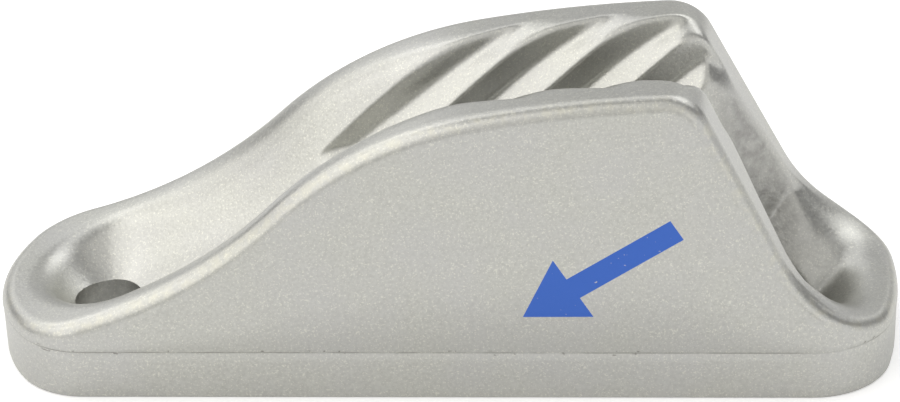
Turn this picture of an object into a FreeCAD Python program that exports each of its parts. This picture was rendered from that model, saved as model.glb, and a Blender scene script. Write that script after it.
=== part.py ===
import FreeCAD, Part
import os
from math import asin, atan, atan2, cos, degrees, pi, radians, sin, sqrt, tan

# Jam cleat: one die-cast aluminium body that grips a rope in a fluted V channel.
# Sizes in mm, slopes in degrees. The origin is the centre of the underside, +X
# towards the steep nose, +Z up. The body is symmetric about the plane Y = 0.

# Plan
length = 66.5            # over the ends, at the parting line
width = 18.2             # over the sides, at the parting line
parting_z = 4.0          # height of the parting line above the base
wall_draft = 3.0         # lean of the walls above the parting line
parting_step = 0.08      # the lower die half closes this much inside the upper one
foot_inset = 0.22        # inset of the underside from the parting outline
tail_corner = 5.6        # plan corner radius at the low end
tail_end = 12.5          # plan radius across the low end
nose_corner = 6.0        # plan corner radius at the steep end
nose_end = 24.0          # plan radius across the steep end

# Side profile of the rim, from the low end to the steep end
tail_z = 4.98            # rim height at the low end
tail_slope = 8.0         # slope at the low end
tail_run = 0.7           # straight length at the low end
ramp_in_radius = 35.2    # hollow sweep into the ramp
ramp_slope = 44.9        # steepest part of the ramp
ramp_out_radius = 29.0   # full sweep out of the ramp
crown_slope = 10.8       # slope where the long crown starts
crest_slope = 2.6        # slope where the crown ends
crest_radius = 3.4       # rounded crest
nose_slope = 64.6        # slope of the steep nose
toe_radius = 11.8        # hollow toe at the foot of the nose
toe_slope = 12.0         # slope that is left at the toe
toe_run = 0.2            # straight length at the steep end
toe_z = 4.91             # rim height at the steep end

# Rim
rim = 3.8                # wall thickness at the top, outer to inner edge
outer_round = 1.2        # rounding of the outer edge

# Screws and the dish round each
tail_hole_in = 7.95      # screw centre in from the low end
nose_hole_in = 8.75      # screw centre in from the steep end
hole_radius = 2.6        # clearance for a 5 mm screw
head_radius = 4.3        # upright room for the screw head below the steep nose
dish_z = 2.7             # lowest point of both dishes
tail_dish = 6.2          # ball radius of the low dish
tail_dish_mouth = 5.4    # radius where its wall turns upright
nose_dish_in = 7.55      # centre of the other dish, in from the steep end
nose_dish = 7.4
nose_dish_mouth = 5.1
trough_z = 3.1           # where both troughs meet the dishes

# Rope channel: a round trough up the ramp, a V groove, a round trough down the nose
ramp_trough = 5.4        # radius of the trough at the dish
ramp_trough_end = 2.9    # and where it runs out
ramp_trough_run = 40.0   # length between the two, along the slope
ramp_floor_gap = 0.1     # flat left between the screw hole and the climbing floor
ramp_floor_slope = 31.0
groove_z = 13.4          # bottom of the V groove above the middle of the base
groove_slope = 1.7       # its rise towards the steep end
groove_round = 0.8       # rounding of the bottom
vee_middle = 22.0        # lean of each V face above the middle of the base
vee_crest = 16.6         # lean of each V face below the crest
vee_crest_at = 4.5       # where that is, past the end of the crown
nose_trough_in = 2.3     # blunt end of the trough, down the nose from the crest rounding
nose_trough_end = 2.3    # its radius there
nose_trough_flare = 4.2  # length over which it opens
nose_trough = 4.7        # its radius once open
nose_trough_toe = 5.1    # and at the toe

# Flutes on both faces of the V groove
flute_count = 4
flute_last = 0.0         # last ridge line past the end of the crown, at flute_z
flute_z = 21.4
flute_pitch = 5.95       # ridge to ridge along X
flute_angle = 41.0       # climb of the flutes towards the steep end
flute_depth = 0.75
flute_valley = 0.45      # place of the deepest line within one pitch
flute_root = 1.6         # rounding of the valley
flute_land = 0.25        # width left standing on every ridge
flute_foot = 1.3         # the flutes start this far above the groove bottom

V = FreeCAD.Vector
half_l = length / 2
half_w = width / 2
tail_hole_x = tail_hole_in - half_l
nose_hole_x = half_l - nose_hole_in
draft = radians(wall_draft)
above = 2 * width


def crown_and_nose():
    """Radius of the long crown and straight length of the nose, which close the side profile.

    The other pieces leave a length and a height to fill; both unknowns are found from these.
    """
    tail, ramp, crown = radians(tail_slope), radians(ramp_slope), radians(crown_slope)
    crest, nose, toe = radians(crest_slope), radians(nose_slope), radians(toe_slope)
    far = length - tail_run * cos(tail) - ramp_in_radius * (sin(ramp) - sin(tail))
    far -= ramp_out_radius * (sin(ramp) - sin(crown)) + crest_radius * (sin(crest) + sin(nose))
    far -= toe_radius * (sin(nose) - sin(toe)) + toe_run * cos(toe)
    up = toe_z - tail_z - tail_run * sin(tail) - ramp_in_radius * (cos(tail) - cos(ramp))
    up -= ramp_out_radius * (cos(crown) - cos(ramp)) + crest_radius * (cos(nose) - cos(crest))
    up -= toe_radius * (cos(nose) - cos(toe)) - toe_run * sin(toe)
    flat, rise = sin(crown) - sin(crest), cos(crest) - cos(crown)
    whole = flat * sin(nose) + rise * cos(nose)
    radius = (far * sin(nose) + up * cos(nose)) / whole
    return radius, (far * rise - up * flat) / whole


def rim_profile():
    """The rim seen from the side, as tangent lines and arcs: start, end, centre, radius, side."""
    pieces = []
    crown_radius, nose_run = crown_and_nose()
    x, z, slope = -half_l, tail_z, radians(tail_slope)
    for size, to in (
        (tail_run, None),
        (ramp_in_radius, ramp_slope),
        (ramp_out_radius, crown_slope),
        (crown_radius, crest_slope),
        (crest_radius, -nose_slope),
        (nose_run, None),
        (toe_radius, -toe_slope),
        (toe_run, None),
    ):
        if to is None:
            x1, z1 = x + size * cos(slope), z + size * sin(slope)
            pieces.append((x, z, x1, z1, 0, 0, 0, 0))
        else:
            side = 1 if radians(to) > slope else -1
            cx, cz = x - side * size * sin(slope), z + side * size * cos(slope)
            slope = radians(to)
            x1, z1 = cx + side * size * sin(slope), cz - side * size * cos(slope)
            pieces.append((x, z, x1, z1, cx, cz, size, side))
        x, z = x1, z1
    return pieces


PROFILE = rim_profile()
steep_x = PROFILE[1][2]
crest_x = PROFILE[3][2]


def rim_z(x):
    """Height of the rim at x; past either end it runs on straight."""
    piece = PROFILE[0]
    for one in PROFILE:
        if x > one[0]:
            piece = one
    x0, z0, x1, z1, cx, cz, radius, side = piece
    if radius:
        return cz - side * sqrt(radius ** 2 - (x - cx) ** 2)
    return z0 + (z1 - z0) * (x - x0) / (x1 - x0)


def vee_section(x):
    """Bottom centre height and lean of the V groove at x."""
    share = x / (crest_x + vee_crest_at)
    slant = tan(radians(vee_middle)) * (1 - share) + tan(radians(vee_crest)) * share
    return groove_z + x * tan(radians(groove_slope)) + groove_round, atan(slant)


def wall_y(x, z):
    """Distance of a V face from the centre plane."""
    centre_z, lean = vee_section(x)
    return groove_round / cos(lean) + (z - centre_z) * tan(lean)


def side_form():
    """Solid under the rim profile, wider than the body."""

    def place(x, z):
        return V(x, -width, z)

    first, last = PROFILE[0], PROFILE[-1]
    edges = []
    for x0, z0, x1, z1, cx, cz, radius, side in PROFILE:
        if radius:
            a0, a1 = atan2(z0 - cz, x0 - cx), atan2(z1 - cz, x1 - cx)
            mid = (a0 + a1) / 2
            middle = place(cx + radius * cos(mid), cz + radius * sin(mid))
            edges.append(Part.Arc(place(x0, z0), middle, place(x1, z1)).toShape())
        else:
            edges.append(Part.makeLine(place(x0, z0), place(x1, z1)))
    reach = half_l + width
    corners = [(last[2], last[3]), (reach, rim_z(reach)), (reach, -width), (-reach, -width)]
    corners += [(-reach, rim_z(-reach)), (first[0], first[1])]
    for a, b in zip(corners, corners[1:]):
        edges.append(Part.makeLine(place(*a), place(*b)))
    return Part.Face(Part.Wire(edges)).extrude(V(0, 2 * width, 0))


def plan_corners():
    """The six arcs of the plan outline: centre, radius, first and last angle, in order."""
    arcs = []
    for turn, corner, end in ((0, nose_corner, nose_end), (pi, tail_corner, tail_end)):
        side = half_w - corner
        end_x = half_l - end
        corner_x = end_x + sqrt((end - corner) ** 2 - side ** 2)
        a = atan2(side, corner_x - end_x)
        sign = cos(turn)
        arcs.append((sign * corner_x, -sign * side, corner, turn - pi / 2, turn - a))
        arcs.append((sign * end_x, 0, end, turn - a, turn + a))
        arcs.append((sign * corner_x, sign * side, corner, turn + a, turn + pi / 2))
    return arcs


def drafted(low, high):
    """Solid between two plan outlines, each given as inset and height: planes and cones."""
    faces = []
    rings = ([], [])
    ends = []
    for cx, cy, radius, a0, a1 in plan_corners():
        def at(inset, z, angle):
            return V(cx + (radius - inset) * cos(angle), cy + (radius - inset) * sin(angle), z)

        riser = Part.makeLine(at(*low, a0), at(*high, a0))
        turn = degrees(a1 - a0)
        faces.append(riser.revolve(V(cx, cy, 0), V(0, 0, 1), turn))
        for ring, level in zip(rings, (low, high)):
            middle = at(*level, (a0 + a1) / 2)
            ring.append(Part.Arc(at(*level, a0), middle, at(*level, a1)).toShape())
        ends.append((at(*low, a0), at(*high, a0), at(*low, a1), at(*high, a1)))
    for first, then in ((2, 3), (5, 0)):
        a, b = ends[first][2:]
        c, d = ends[then][:2]
        faces.append(Part.Face(Part.makePolygon([a, c, d, b, a])))
        rings[0].append(Part.makeLine(a, c))
        rings[1].append(Part.makeLine(b, d))
    for ring in rings:
        faces.append(Part.Face(Part.Wire(Part.__sortEdges__(ring))))
    shell = Part.makeShell(faces)
    shell.sewShape()
    return Part.Solid(shell)


def blank():
    """The casting before the rope channel: drafted walls under the rim profile."""
    lower = drafted((foot_inset, 0), (parting_step, parting_z))
    upper = drafted((0, parting_z), (tan(draft) * (above - parting_z), above))
    return upper.common(side_form()).fuse(lower)


def dish(x, ball, mouth):
    """Cutter for a dish round a screw: part of a ball, then upright."""
    centre_z = dish_z + ball
    turn = asin(mouth / ball)
    edge = V(x + mouth, 0, centre_z - ball * cos(turn))
    middle = V(x + ball * sin(turn / 2), 0, centre_z - ball * cos(turn / 2))
    bottom = V(x, 0, dish_z)
    floor = Part.Arc(bottom, middle, edge).toShape()
    rest = Part.makePolygon([edge, V(x + mouth, 0, above), V(x, 0, above), bottom])
    return Part.Face(Part.Wire([floor] + rest.Edges)).revolve(V(x, 0, 0), V(0, 0, 1), 360)


def ramp_cutter():
    """Cutter for the ramp: the lower half of a cone up a straight slope, upright above."""
    slope = radians(ramp_floor_slope)
    way, rise = V(cos(slope), 0, sin(slope)), V(-sin(slope), 0, cos(slope))
    floor = V(tail_hole_x + hole_radius + ramp_floor_gap, 0, trough_z)
    start = floor + rise * ramp_trough
    end = floor + way * ramp_trough_run + rise * ramp_trough_end
    wide, narrow = V(0, ramp_trough, 0), V(0, ramp_trough_end, 0)
    half = Part.Face(Part.makePolygon([start, start + wide, end + narrow, end, start]))
    plan = [start + wide, end + narrow, end - narrow, start - wide, start + wide]
    upright = Part.Face(Part.makePolygon(plan)).extrude(rise * above)
    return half.revolve(start, end - start, -180).fuse(upright)


def vee_wire(x):
    """Section of the V groove above its rounded bottom."""
    centre_z = vee_section(x)[0]
    low, high = 0.9 * groove_round, wall_y(x, above)
    corners = [(low, centre_z), (high, above), (-high, above), (-low, centre_z), (low, centre_z)]
    return Part.makePolygon([V(x, y, z) for y, z in corners])


def vee_cutter():
    """Cutter for the V groove: a rounded slot along the bottom, under two leaning faces."""
    x0, x1 = -half_l / 2, half_l
    slope = radians(groove_slope)
    along, up = V(cos(slope), 0, sin(slope)), V(-sin(slope), 0, cos(slope))
    side = V(0, groove_round, 0)
    centre = V(x0, 0, vee_section(x0)[0])
    top = centre + up * groove_round
    floor = Part.Arc(centre - side, centre - up * groove_round, centre + side).toShape()
    upright = Part.makePolygon([centre + side, top + side, top - side, centre - side])
    slot = Part.Face(Part.Wire([floor] + upright.Edges)).extrude(along * (2 * length))
    return Part.makeLoft([vee_wire(x0), vee_wire(x1)], True, True).fuse(slot)


def nose_cutter():
    """Cutter for the nose: a blunt cone below the crest that opens to a trough down to the dish.

    Its axis lies along the nose, and it stops over the middle of the dish.
    """
    slope = radians(nose_slope)
    start = V(PROFILE[5][0], 0, PROFILE[5][1])
    way, out = V(cos(slope), 0, -sin(slope)), V(sin(slope), 0, cos(slope))
    last = 1.5 * (PROFILE[5][2] - PROFILE[5][0]) / cos(slope)
    blunt = start + way * nose_trough_in
    opened = blunt + way * nose_trough_flare + out * nose_trough
    end = start + way * last
    corners = [blunt, blunt + out * nose_trough_end, opened, end + out * nose_trough_toe, end, blunt]
    trough = Part.Face(Part.makePolygon(corners)).revolve(start, way, 360)
    return trough.common(Part.makeBox(half_l - nose_dish_in, 2 * width, above, V(0, -width, trough_z)))


def flute_cutter(x):
    """Prism along one flute of the +Y face; its ridge crosses flute_z at x."""
    low = vee_section(x)[0] + flute_foot
    x_low = x - (flute_z - low) / tan(radians(flute_angle))
    y_low = wall_y(x_low, low)
    run = V(x - x_low, wall_y(x, flute_z) - y_low, flute_z - low)
    run.multiply((rim_z(x + flute_pitch) + groove_round - low) / run.z)
    a = V(x_low + flute_land / 2, y_low, low)
    b = V(x_low + flute_pitch * flute_valley, y_low + flute_depth, low)
    c = V(x_low + flute_pitch - flute_land / 2, y_low, low)
    to_a = (a - b).normalize()
    to_c = (c - b).normalize()
    half = to_a.getAngle(to_c) / 2
    p = b + to_a * (flute_root / tan(half))
    q = b + to_c * (flute_root / tan(half))
    root = b + (to_a + to_c).normalize() * (flute_root / sin(half) - flute_root)
    back = V(0, -2 * flute_depth, 0)
    rest = Part.makePolygon([q, c, c + back, a + back, a, p])
    return Part.Face(Part.Wire([Part.Arc(p, root, q).toShape()] + rest.Edges)).extrude(run)


def outer_edges(shape):
    """Edges between the walls and the rim."""
    found = []
    for edge in shape.Edges:
        middle = edge.valueAt((edge.FirstParameter + edge.LastParameter) / 2)
        points = [v.Point for v in edge.Vertexes] + [middle]
        across = edge.BoundBox.YMin < 0 < edge.BoundBox.YMax and abs(middle.x) < half_l - rim
        if all(abs(p.z - rim_z(p.x)) < parting_step / 2 for p in points) and not across:
            found.append(edge)
    return found


body = blank()
body = body.makeFillet(min(outer_round, 0.4 * rim), outer_edges(body))
tools = [
    dish(tail_hole_x, tail_dish, tail_dish_mouth),
    dish(half_l - nose_dish_in, nose_dish, nose_dish_mouth),
    Part.makeCylinder(head_radius, above, V(nose_hole_x, 0, trough_z)),
    ramp_cutter(),
    vee_cutter(),
    nose_cutter(),
]
body = body.cut(tools)

last_flute = crest_x + flute_last
tools = [flute_cutter(last_flute - flute_pitch * i) for i in range(flute_count)]
tools += [one.mirror(V(0, 0, 0), V(0, 1, 0)) for one in tools]
for x in (tail_hole_x, nose_hole_x):
    tools.append(Part.makeCylinder(hole_radius, above, V(x, 0, -above / 2)))
body = body.cut(tools)

os.makedirs("parts", exist_ok=True)
body.Solids[0].exportStep("parts/cleat_body.step")
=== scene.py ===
from math import atan2, cos, pi, radians, sin, sqrt, tan

import bmesh
import bpy
import numpy as np
from mathutils import Matrix, Vector


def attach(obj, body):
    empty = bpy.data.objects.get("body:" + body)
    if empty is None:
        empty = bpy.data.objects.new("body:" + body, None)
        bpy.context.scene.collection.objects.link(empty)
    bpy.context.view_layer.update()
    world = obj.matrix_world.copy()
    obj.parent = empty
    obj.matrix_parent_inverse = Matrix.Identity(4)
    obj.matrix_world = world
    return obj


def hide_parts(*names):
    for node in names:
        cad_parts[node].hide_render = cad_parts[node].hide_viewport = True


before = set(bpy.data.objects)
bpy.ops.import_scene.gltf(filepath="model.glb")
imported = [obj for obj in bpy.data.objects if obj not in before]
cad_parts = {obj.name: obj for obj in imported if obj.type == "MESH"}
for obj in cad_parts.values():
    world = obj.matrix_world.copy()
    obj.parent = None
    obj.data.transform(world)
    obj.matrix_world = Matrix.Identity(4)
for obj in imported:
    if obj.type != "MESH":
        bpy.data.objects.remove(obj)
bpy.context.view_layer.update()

MM = 0.001

# Body: sizes in millimetres, slopes in degrees, X along the rope, Z up from the underside
length, width = 66.5, 18.2
half_l, half_w = length / 2, width / 2
parting_z = 4.0
draft = radians(3.0)
tail_corner, tail_end = 5.6, 12.5
nose_corner, nose_end = 6.0, 24.0
outer_round = 1.2

# Rim seen from the side, from the low end to the toe: a line has its length and no slope, an
# arc has its radius and the slope that it turns to
rim_start_z, rim_start_slope = 4.98, 8.0
nose_length, nose_slope = 12.4, -64.6
rim_runs = (
    (0.7, None), (35.2, 44.9), (29.0, 10.8), (97.7, 2.6),
    (3.4, nose_slope), (nose_length, None), (11.8, -12.0), (1.2, None),
)
nose_run = 5

# Screw holes and the dishes round them
tail_hole_x, nose_hole_x = -25.3, 24.5
hole_radius, head_radius = 2.6, 2.7
seat_z = 3.1
tail_floor, pocket_floor, pocket_x = 2.0, 2.45, 26.2

# Ramp, V groove with the lean of its faces in the middle and at the crest, and nose trough
ramp_slope = 31.0
groove_round, groove_z, groove_slope = 0.8, 13.4, 1.7
vee_middle, vee_crest, crest_x = 21.0, 15.5, 20.8
nose_top, nose_toe = 2.45, 4.75
steep = 14.0

# Flutes on the V faces: where the first starts at a height of flute_z, and their form
flute_first, flute_pitch, flute_count = -2.0, 5.75, 4
flute_z, flute_slope = 21.4, 41.0
flute_depth, flute_valley, flute_soft = 1.35, 0.56, 0.22

# Points of the grid: columns on the channel floor, on the walls with the rim, round the outer
# edge, down the wall, across the underside and down a screw hole
floor_columns, wall_columns = 24, 76
top_columns = floor_columns + wall_columns
edge_columns, side_columns, under_columns, bore_columns = 10, 4, 3, 9


def rim_pieces():
    """Rim seen from the side: tangent lines and arcs, each start, end, centre, radius, side.

    A line adds its length along the slope. An arc turns about a centre one radius square to the
    slope, up for a rising turn and down for a falling one, until it has its new slope.
    """
    pieces = []
    x, z, slope = -half_l, rim_start_z, radians(rim_start_slope)
    for size, to in rim_runs:
        if to is None:
            x1, z1 = x + size * cos(slope), z + size * sin(slope)
            pieces.append((x, z, x1, z1, 0.0, 0.0, 0.0, 0.0))
        else:
            side = 1.0 if radians(to) > slope else -1.0
            cx, cz = x - side * size * sin(slope), z + side * size * cos(slope)
            slope = radians(to)
            x1, z1 = cx + side * size * sin(slope), cz - side * size * cos(slope)
            pieces.append((x, z, x1, z1, cx, cz, size, side))
        x, z = x1, z1
    return pieces


PIECES = rim_pieces()


def rim_at(x):
    """Height and slope angle of the rim at x.

    On an arc the height is the centre's less or plus sqrt(radius^2 - (x - centre)^2), on a line
    it goes evenly from end to end.
    """
    height = np.zeros_like(x)
    slope = np.zeros_like(x)
    for i, (x0, z0, x1, z1, cx, cz, radius, side) in enumerate(PIECES):
        here = x >= x0 if i else np.ones(x.shape, bool)
        if radius:
            down = np.sqrt(np.maximum(radius ** 2 - (x - cx) ** 2, 1e-6))
            h, s = cz - side * down, np.arctan2(side * (x - cx), down)
        else:
            h, s = z0 + (z1 - z0) * (x - x0) / (x1 - x0), np.full_like(x, atan2(z1 - z0, x1 - x0))
        height = np.where(here, h, height)
        slope = np.where(here, s, slope)
    return height, slope


def soft_min(a, b, k):
    """The smaller of two values, their corner rounded: half of a + b - sqrt((a - b)^2 + k^2)."""
    return (a + b - np.hypot(a - b, k)) / 2


def soft_max(a, b, k):
    """The larger of two values, their corner rounded: half of a + b + sqrt((a - b)^2 + k^2)."""
    return (a + b + np.hypot(a - b, k)) / 2


def ease(t):
    """0 to 1 with level ends: 3 t^2 - 2 t^3."""
    t = np.clip(t, 0, 1)
    return t * t * (3 - 2 * t)


def open_section(r, w, slant):
    """Height above the bottom of an open hollow, a hyperbola: (sqrt(r^2 + w^2) - w) / slant.

    The bottom has roundness w, and far out the wall stands at 1 / slant.
    """
    return (np.hypot(r, w) - w) / slant


def tail_skin(x, y):
    """Dish at the low end and the ramp behind it, one open hollow.

    Height = floor + open section of r. The floor is level round the screw hole and then climbs
    at the ramp's slope; r is the distance from the centre line, or from the hole at the end.
    Towards the low end the bottom grows rounder and the sides lie flatter.
    """
    ramp_x, bend = tail_hole_x + hole_radius + 0.1, 0.9
    ramp_slant, more_slant, slant_x, slant_over = 0.57, 0.15, -9.0, 8.0
    least_round, more_round, round_x, round_over = 0.9, 0.15, -4.0, 19.3
    ramp = seat_z + (x - ramp_x) * tan(radians(ramp_slope))
    floor = soft_max(tail_floor + 0 * x, ramp, bend)
    slant = ramp_slant + more_slant * ease((slant_x - x) / slant_over)
    w = least_round + more_round * np.clip(round_x - x, 0, round_over)
    r = np.hypot(np.minimum(x - tail_hole_x, 0), y)
    return floor + open_section(r, w, slant)


def pocket_skin(x, y):
    """Dish at the foot of the nose: floor + open section of r, more open towards the toe.

    r is the cube root of on^3 + |y|^3, where on is how far x lies beyond the dish's middle.
    """
    roundness, foot_slant, more_slant, slant_x, slant_over = 3.0, 0.54, 0.36, 25.7, 5.0
    on = np.maximum(x - pocket_x, 0)
    r = np.cbrt(on ** 3 + np.abs(y) ** 3)
    slant = foot_slant + more_slant * ease((x - slant_x) / slant_over)
    return pocket_floor + open_section(r, roundness, slant)


def vee_shape(x):
    """Centre height of the V groove's bottom rounding and the tangent of the lean of its faces.

    Both change evenly along x: the groove climbs at its slope, and the lean goes from the middle
    value at x = 0 to the crest value.
    """
    share = x / crest_x
    slant = tan(radians(vee_middle)) * (1 - share) + tan(radians(vee_crest)) * share
    return groove_z + x * tan(radians(groove_slope)) + groove_round, slant


def vee_skin(x, y):
    """V groove: leaning flanks and a rounded bottom.

    Height = the point where the two flanks would meet + sqrt(y^2 + w^2) / slant, a hyperbola whose
    w lets its lowest point touch the bottom rounding.
    """
    centre, slant = vee_shape(x)
    lean = np.arctan(slant)
    w = groove_round * (1 - np.sin(lean)) / np.cos(lean)
    return centre - groove_round / np.sin(lean) + np.hypot(y, w) / slant


def vee_mouth(x):
    """Distance of a V face from the centre plane at the height of the rim.

    It is rounding * sqrt(1 + slant^2) + height above the rounding's centre * slant.
    """
    centre, slant = vee_shape(x)
    return groove_round * np.hypot(1, slant) + (rim_at(x)[0] - centre) * slant


def nose_skin(x, y):
    """Floor of the nose trough: cone with its axis along the steep nose line.

    With q the depth below the nose line, q^2 + y^2 = (a + b q)^2 is solved for q. The radius
    grows from nose_top to nose_toe along the line and flares at the foot, where the trough runs
    into the dish. Outside the trough and behind its start the skin rises steeply.
    """
    flare, flare_x, flare_over = 1.2, 21.5, 5.0
    into_dish, start_x, within = 1.8, 18.0, 0.99
    slope = radians(-nose_slope)
    sx, sz = PIECES[nose_run][:2]
    widen = (nose_toe - nose_top) / nose_length
    a = nose_top + widen * (x - sx) / cos(slope) + flare * ease((x - flare_x) / flare_over)
    b = widen * tan(slope)
    side = np.minimum(np.abs(y), within * a)
    left = a * a - np.minimum(side, a) ** 2
    q = (a * b + np.sqrt(np.maximum((a * b) ** 2 + (1 - b * b) * left, 0))) / (1 - b * b)
    t = (x - sx + sin(slope) * q) / cos(slope)
    z = sz - sin(slope) * t - cos(slope) * q
    z = soft_max(z, pocket_skin(x, side), into_dish)
    return z + steep * (np.abs(y) - side) + steep * np.maximum(start_x - x, 0)


def rim_over(rim_z, cut, reach):
    """The lower of the rim and a cut, their corner rounded.

    Where they differ by less than reach, the lower one less (reach - difference)^2 / (4 reach).
    """
    over = np.maximum(reach - np.abs(rim_z - cut), 0)
    return np.minimum(rim_z, cut) - over ** 2 / (4 * reach)


def top_z(x, y):
    """Top skin: the rim height, or the lowest of the dishes, ramp, groove, nose and head room.

    The head room is a flat seat round the nose hole with a steep wall round it.
    """
    nose_from, head_from = 8, 15
    cut_round, nose_round = 0.8, 0.4
    lip, more_lip, lip_x, lip_over = 1.2, 1.2, -24.0, 6.0
    cut = soft_min(tail_skin(x, y), vee_skin(x, y), cut_round)
    cut = np.where(x > nose_from, soft_min(cut, nose_skin(x, y), nose_round), cut)
    head = seat_z + steep * np.maximum(np.hypot(x - nose_hole_x, y) - head_radius, 0)
    cut = np.where(x > head_from, soft_min(cut, head, cut_round), cut)
    return rim_over(rim_at(x)[0], cut, lip + more_lip * ease((x - lip_x) / lip_over))


def rounding(below):
    """Length over which a row is averaged: it eases from soft at the rim to crisp on the walls."""
    soft, less, start, over = 0.9, 0.55, 0.4, 1.2
    return soft - less * ease((below - start) / over)


def path(points):
    """Distance of each point of a row from the row's first point, along the row."""
    gap = np.sqrt((np.diff(points, axis=1) ** 2).sum(2))
    return np.concatenate([0 * gap[:, :1], np.cumsum(gap, 1)], 1)


def resampled(points, far, want):
    """Rows read again at the wanted distances along their own paths."""
    rows = [[np.interp(w, f, axis) for axis in row.T] for w, f, row in zip(want, far, points)]
    return np.array(rows).transpose(0, 2, 1)


def averaged(points, window):
    """Running mean of each row over a length of path, shorter near the two ends of the row.

    The mean is the difference of the row's running total at the window's two ends, over its
    length; between two points the total grows by a trapezium.
    """
    whole = path(points)[:, -1:]
    last = points.shape[1] - 1
    index = np.arange(last + 1)[None]
    half = np.minimum(window * last / whole / 2, np.minimum(index, last - index))
    half = np.maximum(half, 1e-3)
    total = np.concatenate([0 * points[:, :1], np.cumsum((points[:, 1:] + points[:, :-1]) / 2, 1)], 1)

    def upto(place):
        low = np.clip(np.floor(place).astype(int), 0, last - 1)
        part = (place - low)[..., None]
        first = np.take_along_axis(points, low[..., None], 1)
        then = np.take_along_axis(points, low[..., None] + 1, 1)
        base = np.take_along_axis(total, low[..., None], 1)
        return base + part * first + part ** 2 * (then - first) / 2

    return (upto(index + half) - upto(index - half)) / (2 * half)[..., None]


def even(points, columns):
    """Each row resampled at even steps along its own path."""
    far = path(points)
    return resampled(points, far, far[:, -1:] * np.linspace(0, 1, columns))


def spaced(points):
    """Rows resampled so that their outer parts match from row to row, however deep the floor is.

    The outer part is three quarters of the shortest row near by, smoothed along the outline, and
    at most nine tenths of its own row. It has the wall's columns, and the rest has the floor's.
    """
    near_rows, smooth_rows, share, most = 12, 10, 0.75, 0.9
    far = path(points)
    whole = far[:, -1]
    near = np.lib.stride_tricks.sliding_window_view
    least = near(np.pad(whole, near_rows, mode="edge"), 2 * near_rows + 1).min(1)
    part = share * near(np.pad(least, smooth_rows, mode="edge"), 2 * smooth_rows + 1).mean(1)[:, None]
    part = np.minimum(part, most * whole[:, None])
    inner = (whole[:, None] - part) * np.linspace(0, 1, floor_columns + 1)[None, :-1]
    outer = whole[:, None] - part + part * np.linspace(0, 1, wall_columns)
    return resampled(points, far, np.concatenate([inner, outer], 1))


def fluted(x, y, z):
    """The y of the V faces, sunk outwards by a leaning sawtooth with rounded valleys.

    Depth = deepest * saw(phase) * hold. The phase counts the flutes along x, less the climb of
    the flutes; the saw rises over the valley's share of a flute and falls over the rest. The hold
    fades the flutes out at the groove's bottom and behind the inner edge of the rim. Where a flute
    has sunk beyond that edge it leans over further, which draws its end out to a claw; the flat
    rim behind only closes up.
    """
    clear_floor, floor_over, clear_middle, middle_over = 0.2, 1.2, 0.4, 0.8
    clear_rim, rim_over_width = 0.2, 2.3
    claw, claw_share, claw_round, rounds = 1.9, 0.8, 0.5, 4
    away = np.abs(y)
    floor = vee_shape(x)[0] - groove_round
    hold = ease((z - floor - clear_floor) / floor_over) * ease((away - clear_middle) / middle_over)
    behind = away - vee_mouth(x)
    hold = hold * (1 - ease((behind - clear_rim) / rim_over_width))
    depth = 0 * z
    for _ in range(rounds):
        lean = claw * soft_max(behind + claw_share * depth, 0, claw_round)
        phase = (x - (z - flute_z) / tan(radians(flute_slope)) - lean - flute_first) / flute_pitch
        part = phase - np.floor(phase)
        raw = np.minimum(part / flute_valley, (1 - part) / (1 - flute_valley))
        saw = sqrt(1 + flute_soft ** 2) - np.sqrt((1 - raw) ** 2 + flute_soft ** 2)
        depth = flute_depth * saw * hold * ((phase > 0) & (phase < flute_count))
    return y + np.sign(y) * depth


def corner_place(corner, end):
    """Centre of a plan corner arc and the angle where it meets the end arc.

    The two arcs touch, so their centres lie end - corner apart.
    """
    side = half_w - corner
    end_x = half_l - end
    corner_x = end_x + sqrt((end - corner) ** 2 - side ** 2)
    return corner_x, side, atan2(side, corner_x - end_x)


def outline():
    """Stations round the -Y half of the plan outline at the parting line: point and normal.

    An arc's stations are its centre + radius * (cos, sin) at even angles; the straight side has
    closer stations where the flutes are.
    """
    end_steps, tail_steps, nose_steps = 14, 18, 24
    x0, side0, a0 = corner_place(tail_corner, tail_end)
    x1, side1, a1 = corner_place(nose_corner, nose_end)
    runs = ((-x0, -14.0, 34), (-14.0, -4.0, 56), (-4.0, 21.0, 150), (21.0, x1, 42))
    points = []

    def along(cx, cy, radius, first, last, steps, closed=False):
        a = np.linspace(first, last, steps + 1)[: steps + closed]
        ring = [cx + radius * np.cos(a), cy + radius * np.sin(a), np.cos(a), np.sin(a)]
        points.append(np.stack(ring, 1))

    along(tail_end - half_l, 0, tail_end, pi, pi + a0, end_steps)
    along(-x0, -side0, tail_corner, pi + a0, 1.5 * pi, tail_steps)
    for first, last, steps in runs:
        x = np.linspace(first, last, steps + 1)[:steps]
        points.append(np.stack([x, 0 * x - half_w, 0 * x, 0 * x - 1], 1))
    along(x1, -side1, nose_corner, -pi / 2, -a1, nose_steps)
    along(half_l - nose_end, 0, nose_end, -a1, 0, end_steps, True)
    return np.concatenate(points)


def rolled(station):
    """Ball that rounds the outer edge: its centre, and directions to the wall and to the rim.

    The ball touches the drafted wall and the rim. Its centre lies one radius square to both, and
    rounds of putting it on the one and then on the other find that place.
    """
    ox, oy, nx, ny = station.T
    r, rounds = outer_round, 40
    x, z = ox.copy(), rim_at(ox)[0]
    for _ in range(rounds):
        inset = (z - parting_z) * tan(draft) + r / cos(draft)
        px = ox - nx * inset
        height, slope = rim_at(x)
        x = px - r * np.sin(slope)
        height, slope = rim_at(x)
        z = height - r * np.cos(slope)
    centre = np.stack([px, oy - ny * inset, z], 1)
    to_wall = np.stack([nx * cos(draft), ny * cos(draft), 0 * nx + sin(draft)], 1)
    to_rim = np.stack([-np.sin(slope), 0 * nx, np.cos(slope)], 1)
    return centre, to_wall, to_rim


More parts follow.
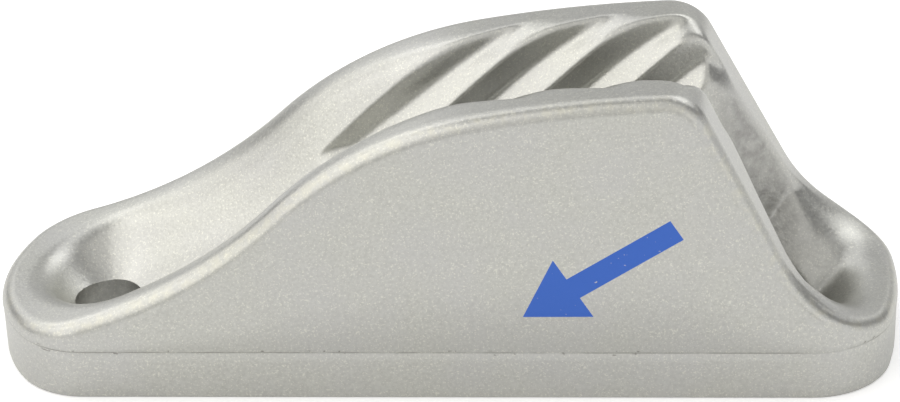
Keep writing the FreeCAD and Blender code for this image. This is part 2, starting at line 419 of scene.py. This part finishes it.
def inner_line(station, run):
    """Inner end of each row in plan: half round each screw hole, then along the centre plane.

    The first and last rows share out the half circles evenly by their run along the outline; the
    rows between keep their own x, eased towards the holes' edges near them.
    """
    tail_clear, tail_spread, nose_clear, nose_spread = 2.0, 9.0, 1.4, 4.5
    x = np.zeros(len(run))
    y = np.zeros(len(run))
    tail_last = int(np.argmax(station[:, 0] > tail_hole_x + hole_radius + tail_clear))
    nose_first = int(np.argmax(station[:, 0] > nose_hole_x - hole_radius - nose_clear))
    turn = pi + pi * run[: tail_last + 1] / run[tail_last]
    x[: tail_last + 1] = tail_hole_x + hole_radius * np.cos(turn)
    y[: tail_last + 1] = hole_radius * np.sin(turn)
    turn = pi + pi * (run[nose_first:] - run[nose_first]) / (run[-1] - run[nose_first])
    x[nose_first:] = nose_hole_x + hole_radius * np.cos(turn)
    y[nose_first:] = hole_radius * np.sin(turn)
    middle, nose_x = station[tail_last:nose_first, 0], station[nose_first, 0]
    back = (tail_hole_x + hole_radius - middle[0]) * (1 - ease((middle - middle[0]) / tail_spread))
    on = (nose_hole_x - hole_radius - nose_x) * ease(1 + (middle - nose_x) / nose_spread)
    x[tail_last:nose_first] = middle + back + on
    y[tail_last] = y[nose_first] = 0
    y[0] = y[-1] = 0
    return np.stack([x, y], 1), tail_last, nose_first


def half_casting():
    """Half of the casting as one grid, later mirrored about the centre plane.

    Rows go round half the outline. Columns go from the channel floor over the rim, round the
    outer edge, down the drafted wall and the lower wall to the underside, and back to the middle.
    """
    station = outline()
    step = np.hypot(*np.diff(station[:, :2], axis=0).T)
    run = np.concatenate([[0], np.cumsum(step)])
    centre, to_wall, to_rim = rolled(station)
    edge = centre + outer_round * to_rim
    inner, tail_last, nose_first = inner_line(station, run)
    rows = len(station)

    first_points, even_points, averages = 1200, 700, 2
    fine = np.linspace(0, 1, first_points)
    x = inner[:, :1] + (edge[:, :1] - inner[:, :1]) * fine
    y = inner[:, 1:] + (edge[:, 1:2] - inner[:, 1:]) * fine
    top = even(np.stack([x, y, top_z(x, y)], 2), even_points)
    x, y, z = top.transpose(2, 0, 1)
    top = np.stack([x, fluted(x, y, z), z], 2)
    for _ in range(averages):
        top = averaged(top, rounding(rim_at(x)[0] - top[:, :, 2]))
    top = spaced(top)

    turn = np.arccos(np.sum(to_rim * to_wall, 1))[:, None]
    a = turn * np.linspace(0, 1, edge_columns)[None, 1:]
    way = (to_rim[:, None] * np.sin(turn - a)[..., None] + to_wall[:, None] * np.sin(a)[..., None])
    rolled_edge = centre[:, None] + outer_round * way / np.sin(turn)[..., None]

    # Drafted wall down to the parting line, then each lower point's inset and height from there
    ox, oy, nx, ny = station.T
    above_line, step_in, step_down = 0.03, 0.04, 0.11
    draw_in, fall, foot_round = 0.18, 3.64, 0.25
    contact = rolled_edge[:, -1]
    drop = np.linspace(0, 1, side_columns)[None, 1:, None]
    parting = np.stack([ox, oy, 0 * ox + parting_z + above_line], 1)
    wall = contact[:, None] + (parting - contact)[:, None] * drop
    lower = [(0.02, 0.0), (0.06, -0.03), (0.06, -0.07), (step_in, -step_down)]
    lower += [(step_in + draw_in * t, -step_down - fall * t) for t in (0.2, 0.4, 0.6, 0.8, 1.0)]
    foot_in, foot_z = lower[-1]
    for b in (pi / 6, pi / 3, pi / 2):
        lower.append((foot_in + foot_round * (1 - cos(b)), foot_z - foot_round * sin(b)))
    skirt = [np.stack([ox - nx * d, oy - ny * d, 0 * ox + parting_z + h], 1) for d, h in lower]
    skirt = np.stack(skirt, 1)
    below = np.concatenate([inner, np.zeros((rows, 1))], 1)
    last = skirt[:, -1]
    under = last[:, None] + (below - last)[:, None] * np.linspace(0, 1, under_columns)[None, 1:, None]
    grid = np.concatenate([top, rolled_edge, wall, skirt, under], 1)
    return grid, tail_last, nose_first


def grid_faces(rows, cols):
    """Four-sided faces of a grid of points, row by row."""
    i = np.arange(rows - 1)[:, None] * cols + np.arange(cols - 1)[None]
    return np.stack([i, i + 1, i + cols + 1, i + cols], 2).reshape(-1, 4)


def masks(grid):
    """Per point: how far it lies on the rounded outer edge and how deep inside the hollows.

    The edge mask falls evenly to nothing four columns from the middle of the edge rounding; the
    hollow mask grows with the depth below the rim.
    """
    edge_middle, edge_reach = top_columns + 3.5, 4.0
    hollow_from, hollow_over = 0.2, 0.8
    rows, cols, _ = grid.shape
    column = np.arange(cols)[None] + np.zeros((rows, 1))
    edge = np.clip(1 - np.abs(column - edge_middle) / edge_reach, 0, 1)
    depth = rim_at(grid[:, :, 0])[0] - grid[:, :, 2]
    hollow = np.where(column < top_columns, np.clip((depth - hollow_from) / hollow_over, 0, 1), 0)
    return edge, hollow


def make_casting():
    """The whole casting: the half grid and its two half bores, mirrored and welded into one skin.

    A bore's points go evenly from the underside to the top skin at the hole's edge.
    """
    weld, least_edge, sharp_edge = 2e-6, 1e-7, radians(50)
    grid, tail_last, nose_first = half_casting()
    rows, cols, _ = grid.shape
    edge, hollow = masks(grid)
    points, faces = [grid.reshape(-1, 3)], [grid_faces(rows, cols)]
    values = [np.stack([edge.ravel(), hollow.ravel(), 0 * edge.ravel()], 1)]
    count = rows * cols
    for first, last in ((0, tail_last), (nose_first, rows - 1)):
        top, below = grid[first:last + 1, 0], grid[first:last + 1, -1]
        t = np.linspace(0, 1, bore_columns)[None, :, None]
        bore = (below[:, None] + (top - below)[:, None] * t).reshape(-1, 3)
        points.append(bore)
        values.append(np.zeros((len(bore), 3)) + (0, 1, 1))
        faces.append(grid_faces(last - first + 1, bore_columns) + count)
        count += len(bore)
    points, faces, values = np.concatenate(points), np.concatenate(faces), np.concatenate(values)
    points = np.concatenate([points, points * (1, -1, 1)])
    faces = np.concatenate([faces, faces[:, ::-1] + count])
    values = np.concatenate([values, values])

    mesh = bpy.data.meshes.new("casting")
    mesh.from_pydata((points * MM).tolist(), [], faces.tolist())
    for name, value in zip(("outer_edge", "hollow", "bore"), values.T):
        mesh.attributes.new(name, "FLOAT", "POINT").data.foreach_set("value", value)
    bm = bmesh.new()
    bm.from_mesh(mesh)
    bmesh.ops.remove_doubles(bm, verts=bm.verts, dist=weld)
    bmesh.ops.dissolve_degenerate(bm, edges=bm.edges, dist=least_edge)
    bmesh.ops.recalc_face_normals(bm, faces=bm.faces)
    bm.to_mesh(mesh)
    bm.free()
    mesh.shade_smooth()
    mesh.set_sharp_from_angle(angle=sharp_edge)
    obj = bpy.data.objects.new("casting", mesh)
    bpy.context.scene.collection.objects.link(obj)
    return obj


def node(tree, kind, **values):
    """New shader node; a key that starts with in_ sets the socket of that name."""
    made = tree.nodes.new(kind)
    for key, value in values.items():
        if key.startswith("in_"):
            made.inputs[key[3:].replace("_", " ")].default_value = value
        else:
            setattr(made, key, value)
    return made


# Colours of the metal: its grain from dark to pale, soft clouds, painted sparkle that stands in for
# glints of light, worn edges, dirt in the parting line, and the painted shade of the trough down the
# nose with the darker bores; then the blue of the arrow
grain_dark, grain_pale = (0.475, 0.475, 0.445, 1), (0.565, 0.565, 0.53, 1)
cloud_tint = (0.51, 0.505, 0.52, 1)
painted_glint_tint = (0.80, 0.79, 0.70, 1)
worn_tint = (0.66, 0.64, 0.53, 1)
dirt_tint = (0.16, 0.15, 0.13, 1)
# Dark tint for the painted shade of the nose trough and the darker patches in the bores
trough_shade_and_bore_tint = (0.24, 0.235, 0.225, 1)
arrow_blue = (0.030, 0.125, 0.540, 1)

# Scales of the metal's noises, its roughness, and the strength and depth of its relief
grain_scale, mottle_scale, cloud_scale, painted_glint_scale = 4200.0, 1300.0, 160.0, 7500.0
line_scale, pit_scale, rub_scale, tool_scale = 420.0, 1500.0, 2600.0, 1700.0
rough_least, rough_grain, rough_bore, rough_print = 0.265, 0.14, 0.12, 0.12
relief, relief_depth, tool_relief = 0.45, 0.00004, 1.5

# Heights of the parting line and its pits with half their widths, and where along X the tooled trough
# starts and its painted shade ends, in metres
line_z, line_half, pit_z, pit_half = 0.00402, 0.00007, 0.0040, 0.00022
tooled_from, tooled_full, trough_shade_full, trough_shade_end = 0.0190, 0.0215, 0.0240, 0.0290

# Arrow on the near face, in metres: its middle and its way in X and Z, the middle and half
# length of its shaft and half its width, and the start, tip and spread of its head
arrow_x, arrow_z, way_x, way_z = 0.0115, 0.0105, -0.848, -0.53
shaft_middle, shaft_half, shaft_side = -0.0022, 0.0046, 0.0009
head_start, head_tip, head_spread = 0.0022, 0.0066, 0.62
near_face_y = -0.0078


def satin_metal():
    """Satin cast aluminium: grain, painted sparkle, worn edges, tool marks, parting line, painted
    shade in the nose trough, blue arrow.
    """
    material = bpy.data.materials.new("satin_aluminium")
    material.use_nodes = True
    tree = material.node_tree
    shader = tree.nodes["Principled BSDF"]
    link = tree.links.new
    coords = node(tree, "ShaderNodeTexCoord").outputs["Object"]
    place = node(tree, "ShaderNodeSeparateXYZ")
    link(coords, place.inputs[0])
    px, py, pz = place.outputs

    def math(kind, *inputs):
        made = node(tree, "ShaderNodeMath", operation=kind)
        for socket, value in zip(made.inputs, inputs):
            if isinstance(value, (int, float)):
                socket.default_value = value
            else:
                link(value, socket)
        return made.outputs[0]

    def times(a, b):
        return math("MULTIPLY", a, b)

    def noise(scale, detail):
        made = node(tree, "ShaderNodeTexNoise", in_Scale=scale, in_Detail=detail)
        link(coords, made.inputs["Vector"])
        return made.outputs["Fac"]

    def between(value, low, high):
        made = node(tree, "ShaderNodeMapRange", in_From_Min=low, in_From_Max=high)
        link(value, made.inputs["Value"])
        return made.outputs["Result"]

    def mixed(share, under, over):
        made = node(tree, "ShaderNodeMix", data_type="RGBA")
        link(share, made.inputs["Factor"])
        for socket, value in ((made.inputs[6], under), (made.inputs[7], over)):
            if isinstance(value, tuple):
                socket.default_value = value
            else:
                link(value, socket)
        return made.outputs[2]

    def attribute(name):
        return node(tree, "ShaderNodeAttribute", attribute_name=name).outputs["Fac"]

    edge, hollow, bore = attribute("outer_edge"), attribute("hollow"), attribute("bore")
    grain, mottle, cloud = noise(grain_scale, 3.0), noise(mottle_scale, 3.0), noise(cloud_scale, 2.0)

    # Blasted grain with soft clouds, painted sparkle (bright glints painted into the colour) and
    # edges rubbed bright
    colour = mixed(between(grain, 0.3, 0.7), grain_dark, grain_pale)
    colour = mixed(times(between(cloud, 0.4, 0.65), 0.25), colour, cloud_tint)
    # Painted highlight: random bright specks in the colour stand in for light glinting off the grain
    painted_glint = times(between(noise(painted_glint_scale, 1.0), 0.60, 0.68), 0.45)
    colour = mixed(painted_glint, colour, painted_glint_tint)
    worn = times(edge, times(between(mottle, 0.45, 0.62), 0.4))
    colour = mixed(worn, colour, worn_tint)

    # Broken dark parting line with small pits along it, outside the hollows
    line = math("COMPARE", pz, line_z, line_half)
    line = times(line, times(between(noise(line_scale, 3.0), 0.35, 0.55), 0.38))
    pits = math("COMPARE", pz, pit_z, pit_half)
    pits = times(pits, times(between(noise(pit_scale, 2.0), 0.66, 0.70), 0.6))
    marks = times(math("MAXIMUM", line, pits), math("SUBTRACT", 1.0, hollow))
    colour = mixed(marks, colour, dirt_tint)

    # Painted shade darkening the trough down the nose, and the bores darkened in patches
    bore_dark = times(bore, between(mottle, 0.35, 0.6))
    tooled = times(hollow, between(px, tooled_from, tooled_full))
    trough_shade_and_bore = times(tooled, between(px, trough_shade_end, trough_shade_full))
    trough_shade_and_bore = times(trough_shade_and_bore, math("MULTIPLY_ADD", between(mottle, 0.35, 0.65), 0.35, 0.35))
    trough_shade_and_bore = math("MAXIMUM", trough_shade_and_bore, times(bore_dark, 0.25))
    colour = mixed(trough_shade_and_bore, colour, trough_shade_and_bore_tint)

    # Plain blue arrow, slightly rubbed, where the distance along it and aside from it allow
    along = math("MULTIPLY_ADD", px, way_x, times(pz, way_z))
    along = math("ADD", along, -way_x * arrow_x - way_z * arrow_z)
    aside = math("MULTIPLY_ADD", px, way_z, times(pz, -way_x))
    aside = math("ABSOLUTE", math("ADD", aside, -way_z * arrow_x + way_x * arrow_z))
    shaft = math("COMPARE", along, shaft_middle, shaft_half)
    shaft = times(shaft, math("LESS_THAN", aside, shaft_side))
    head = math("MULTIPLY_ADD", along, -head_spread, head_spread * head_tip)
    head = times(math("LESS_THAN", aside, head), math("GREATER_THAN", along, head_start))
    arrow = times(math("MAXIMUM", shaft, head), math("LESS_THAN", py, near_face_y))
    arrow = times(arrow, between(noise(rub_scale, 2.0), 0.24, 0.30))
    colour = mixed(arrow, colour, arrow_blue)
    link(colour, shader.inputs["Base Color"])
    link(math("SUBTRACT", 1.0, arrow), shader.inputs["Metallic"])

    # Roughness follows the grain, and the bores and the arrow are rougher
    rough = math("MULTIPLY_ADD", grain, rough_grain, rough_least)
    rough = math("ADD", rough, times(bore, rough_bore))
    rough = math("ADD", rough, times(arrow, rough_print))
    link(rough, shader.inputs["Roughness"])

    # Fine relief of the grain, with tool marks in the nose trough and the bores
    tooled = times(math("MAXIMUM", tooled, bore), times(noise(tool_scale, 5.0), tool_relief))
    bump = node(tree, "ShaderNodeBump", in_Strength=relief, in_Distance=relief_depth)
    link(math("ADD", grain, tooled), bump.inputs["Height"])
    link(bump.outputs["Normal"], shader.inputs["Normal"])
    return material


body = make_casting()
body.data.materials.append(satin_metal())
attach(body, "root")
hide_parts("cleat_body")

# Studio: pale world, pale floor, soft lamps and the camera, in metres
scene = bpy.context.scene
scene.view_settings.view_transform = "Standard"
white = (1, 1, 1, 1)
world_strength = 0.3
floor_half, floor_pale, floor_rough = 1.5, (0.92, 0.92, 0.92, 1), 0.9
camera_lift, mirror_lift = 0.33, 0.13


def pale_world():
    """Even pale light from all sides."""
    world = bpy.data.worlds.new("studio")
    scene.world = world
    world.use_nodes = True
    tree = world.node_tree
    tree.nodes.clear()
    out = node(tree, "ShaderNodeOutputWorld")
    lit = node(tree, "ShaderNodeBackground", in_Color=white, in_Strength=world_strength)
    tree.links.new(lit.outputs[0], out.inputs["Surface"])


def pale_floor():
    """Matt floor, lifted to white for the camera and a little in reflections."""
    mesh = bpy.data.meshes.new("floor")
    s = floor_half
    mesh.from_pydata([(-s, -s, 0), (s, -s, 0), (s, s, 0), (-s, s, 0)], [], [(0, 1, 2, 3)])
    obj = bpy.data.objects.new("floor", mesh)
    scene.collection.objects.link(obj)
    material = bpy.data.materials.new("floor_white")
    material.use_nodes = True
    tree = material.node_tree
    shader = tree.nodes["Principled BSDF"]
    shader.inputs["Base Color"].default_value = floor_pale
    shader.inputs["Roughness"].default_value = floor_rough
    shader.inputs["Specular IOR Level"].default_value = 0.0
    shader.inputs["Emission Color"].default_value = white
    rays = node(tree, "ShaderNodeLightPath")
    mirrored = node(tree, "ShaderNodeMath", operation="MAXIMUM")
    tree.links.new(rays.outputs["Is Glossy Ray"], mirrored.inputs[0])
    tree.links.new(rays.outputs["Is Transmission Ray"], mirrored.inputs[1])
    in_metal = node(tree, "ShaderNodeMath", operation="MULTIPLY")
    in_metal.inputs[1].default_value = mirror_lift
    tree.links.new(mirrored.outputs[0], in_metal.inputs[0])
    lift = node(tree, "ShaderNodeMath", operation="MULTIPLY_ADD")
    lift.inputs[1].default_value = camera_lift
    tree.links.new(rays.outputs["Is Camera Ray"], lift.inputs[0])
    tree.links.new(in_metal.outputs[0], lift.inputs[2])
    tree.links.new(lift.outputs[0], shader.inputs["Emission Strength"])
    mesh.materials.append(material)


pale_world()
pale_floor()

# Lamps: name, azimuth, elevation, distance, width, height, radiance, colour; a lamp's radiance
# is what a mirror would show of it
aim = Vector((0, 0, 0.01))
cream, neutral = (1.0, 0.985, 0.95), (1, 1, 1)
lamps = (
    ("front", -98, 40, 0.8, 1.8, 1.1, 0.58, cream),
    ("left_front", -145, 33, 0.8, 0.75, 0.85, 0.74, cream),
    ("left", 172, 38, 0.8, 0.6, 0.9, 0.78, cream),
    ("left_key", 155, 36, 0.75, 0.35, 0.35, 0.5, cream),
    ("back_left", 128, 34, 0.8, 0.45, 0.5, 0.6, neutral),
    ("overhead", 90, 71, 0.8, 1.2, 0.5, 0.85, neutral),
    ("back", 90, 24, 0.9, 1.6, 0.7, 0.38, neutral),
    ("right_front", -38, 12, 0.8, 0.6, 0.32, 0.7, neutral),
    ("right_low", -2, 7, 0.9, 0.8, 0.2, 0.5, neutral),
    ("right_back", 35, 47, 0.8, 0.6, 0.5, 0.9, neutral),
)


def softbox(name, azimuth, elevation, away, size_x, size_y, radiance, colour):
    """Rectangular lamp on a sphere round the object, turned towards it."""
    light = bpy.data.lights.new(name, "AREA")
    light.shape = "RECTANGLE"
    light.size, light.size_y = size_x, size_y
    light.energy = pi * size_x * size_y * radiance
    light.color = colour
    obj = bpy.data.objects.new(name, light)
    scene.collection.objects.link(obj)
    a, e = radians(azimuth), radians(elevation)
    place = Vector((away * cos(e) * cos(a), away * cos(e) * sin(a), away * sin(e)))
    obj.location = place
    obj.rotation_euler = (aim - place).to_track_quat("-Z", "Y").to_euler()


for lamp in lamps:
    softbox(*lamp)

# Camera: its angles in degrees, its lens in picture points, the picture's centre in the view
# and the distance from what it looks at
view_azimuth, view_elevation, view_roll = 3.702, 29.842, -1.842
image_width, image_height = 900, 402
focal_points, centre_x, centre_y = 8136.6, 446.137, 196.742
sensor_width, camera_distance, nearest, look_at = 36.0, 0.6, 0.01, Vector((0, 0, 0.012))


def place_camera():
    """Camera at look_at, drawn back along its own line of sight and rolled about it."""
    azimuth, elevation, roll = radians(view_azimuth), radians(view_elevation), radians(view_roll)
    ahead = Vector((-sin(azimuth) * cos(elevation), cos(azimuth) * cos(elevation), -sin(elevation)))
    right = Vector((cos(azimuth), sin(azimuth), 0))
    up = Vector((-sin(azimuth) * sin(elevation), cos(azimuth) * sin(elevation), cos(elevation)))
    data = bpy.data.cameras.new("camera")
    data.sensor_width = sensor_width
    data.lens = focal_points * sensor_width / image_width
    data.shift_x = (image_width / 2 - centre_x) / image_width
    data.shift_y = (centre_y - image_height / 2) / image_width
    data.clip_start = nearest
    camera = bpy.data.objects.new("camera", data)
    scene.collection.objects.link(camera)
    turned_right = right * cos(roll) + up * sin(roll)
    turned_up = up * cos(roll) - right * sin(roll)
    place = Matrix((turned_right, turned_up, -ahead)).transposed().to_4x4()
    place.translation = look_at - ahead * camera_distance
    camera.matrix_world = place
    scene.camera = camera


place_camera()
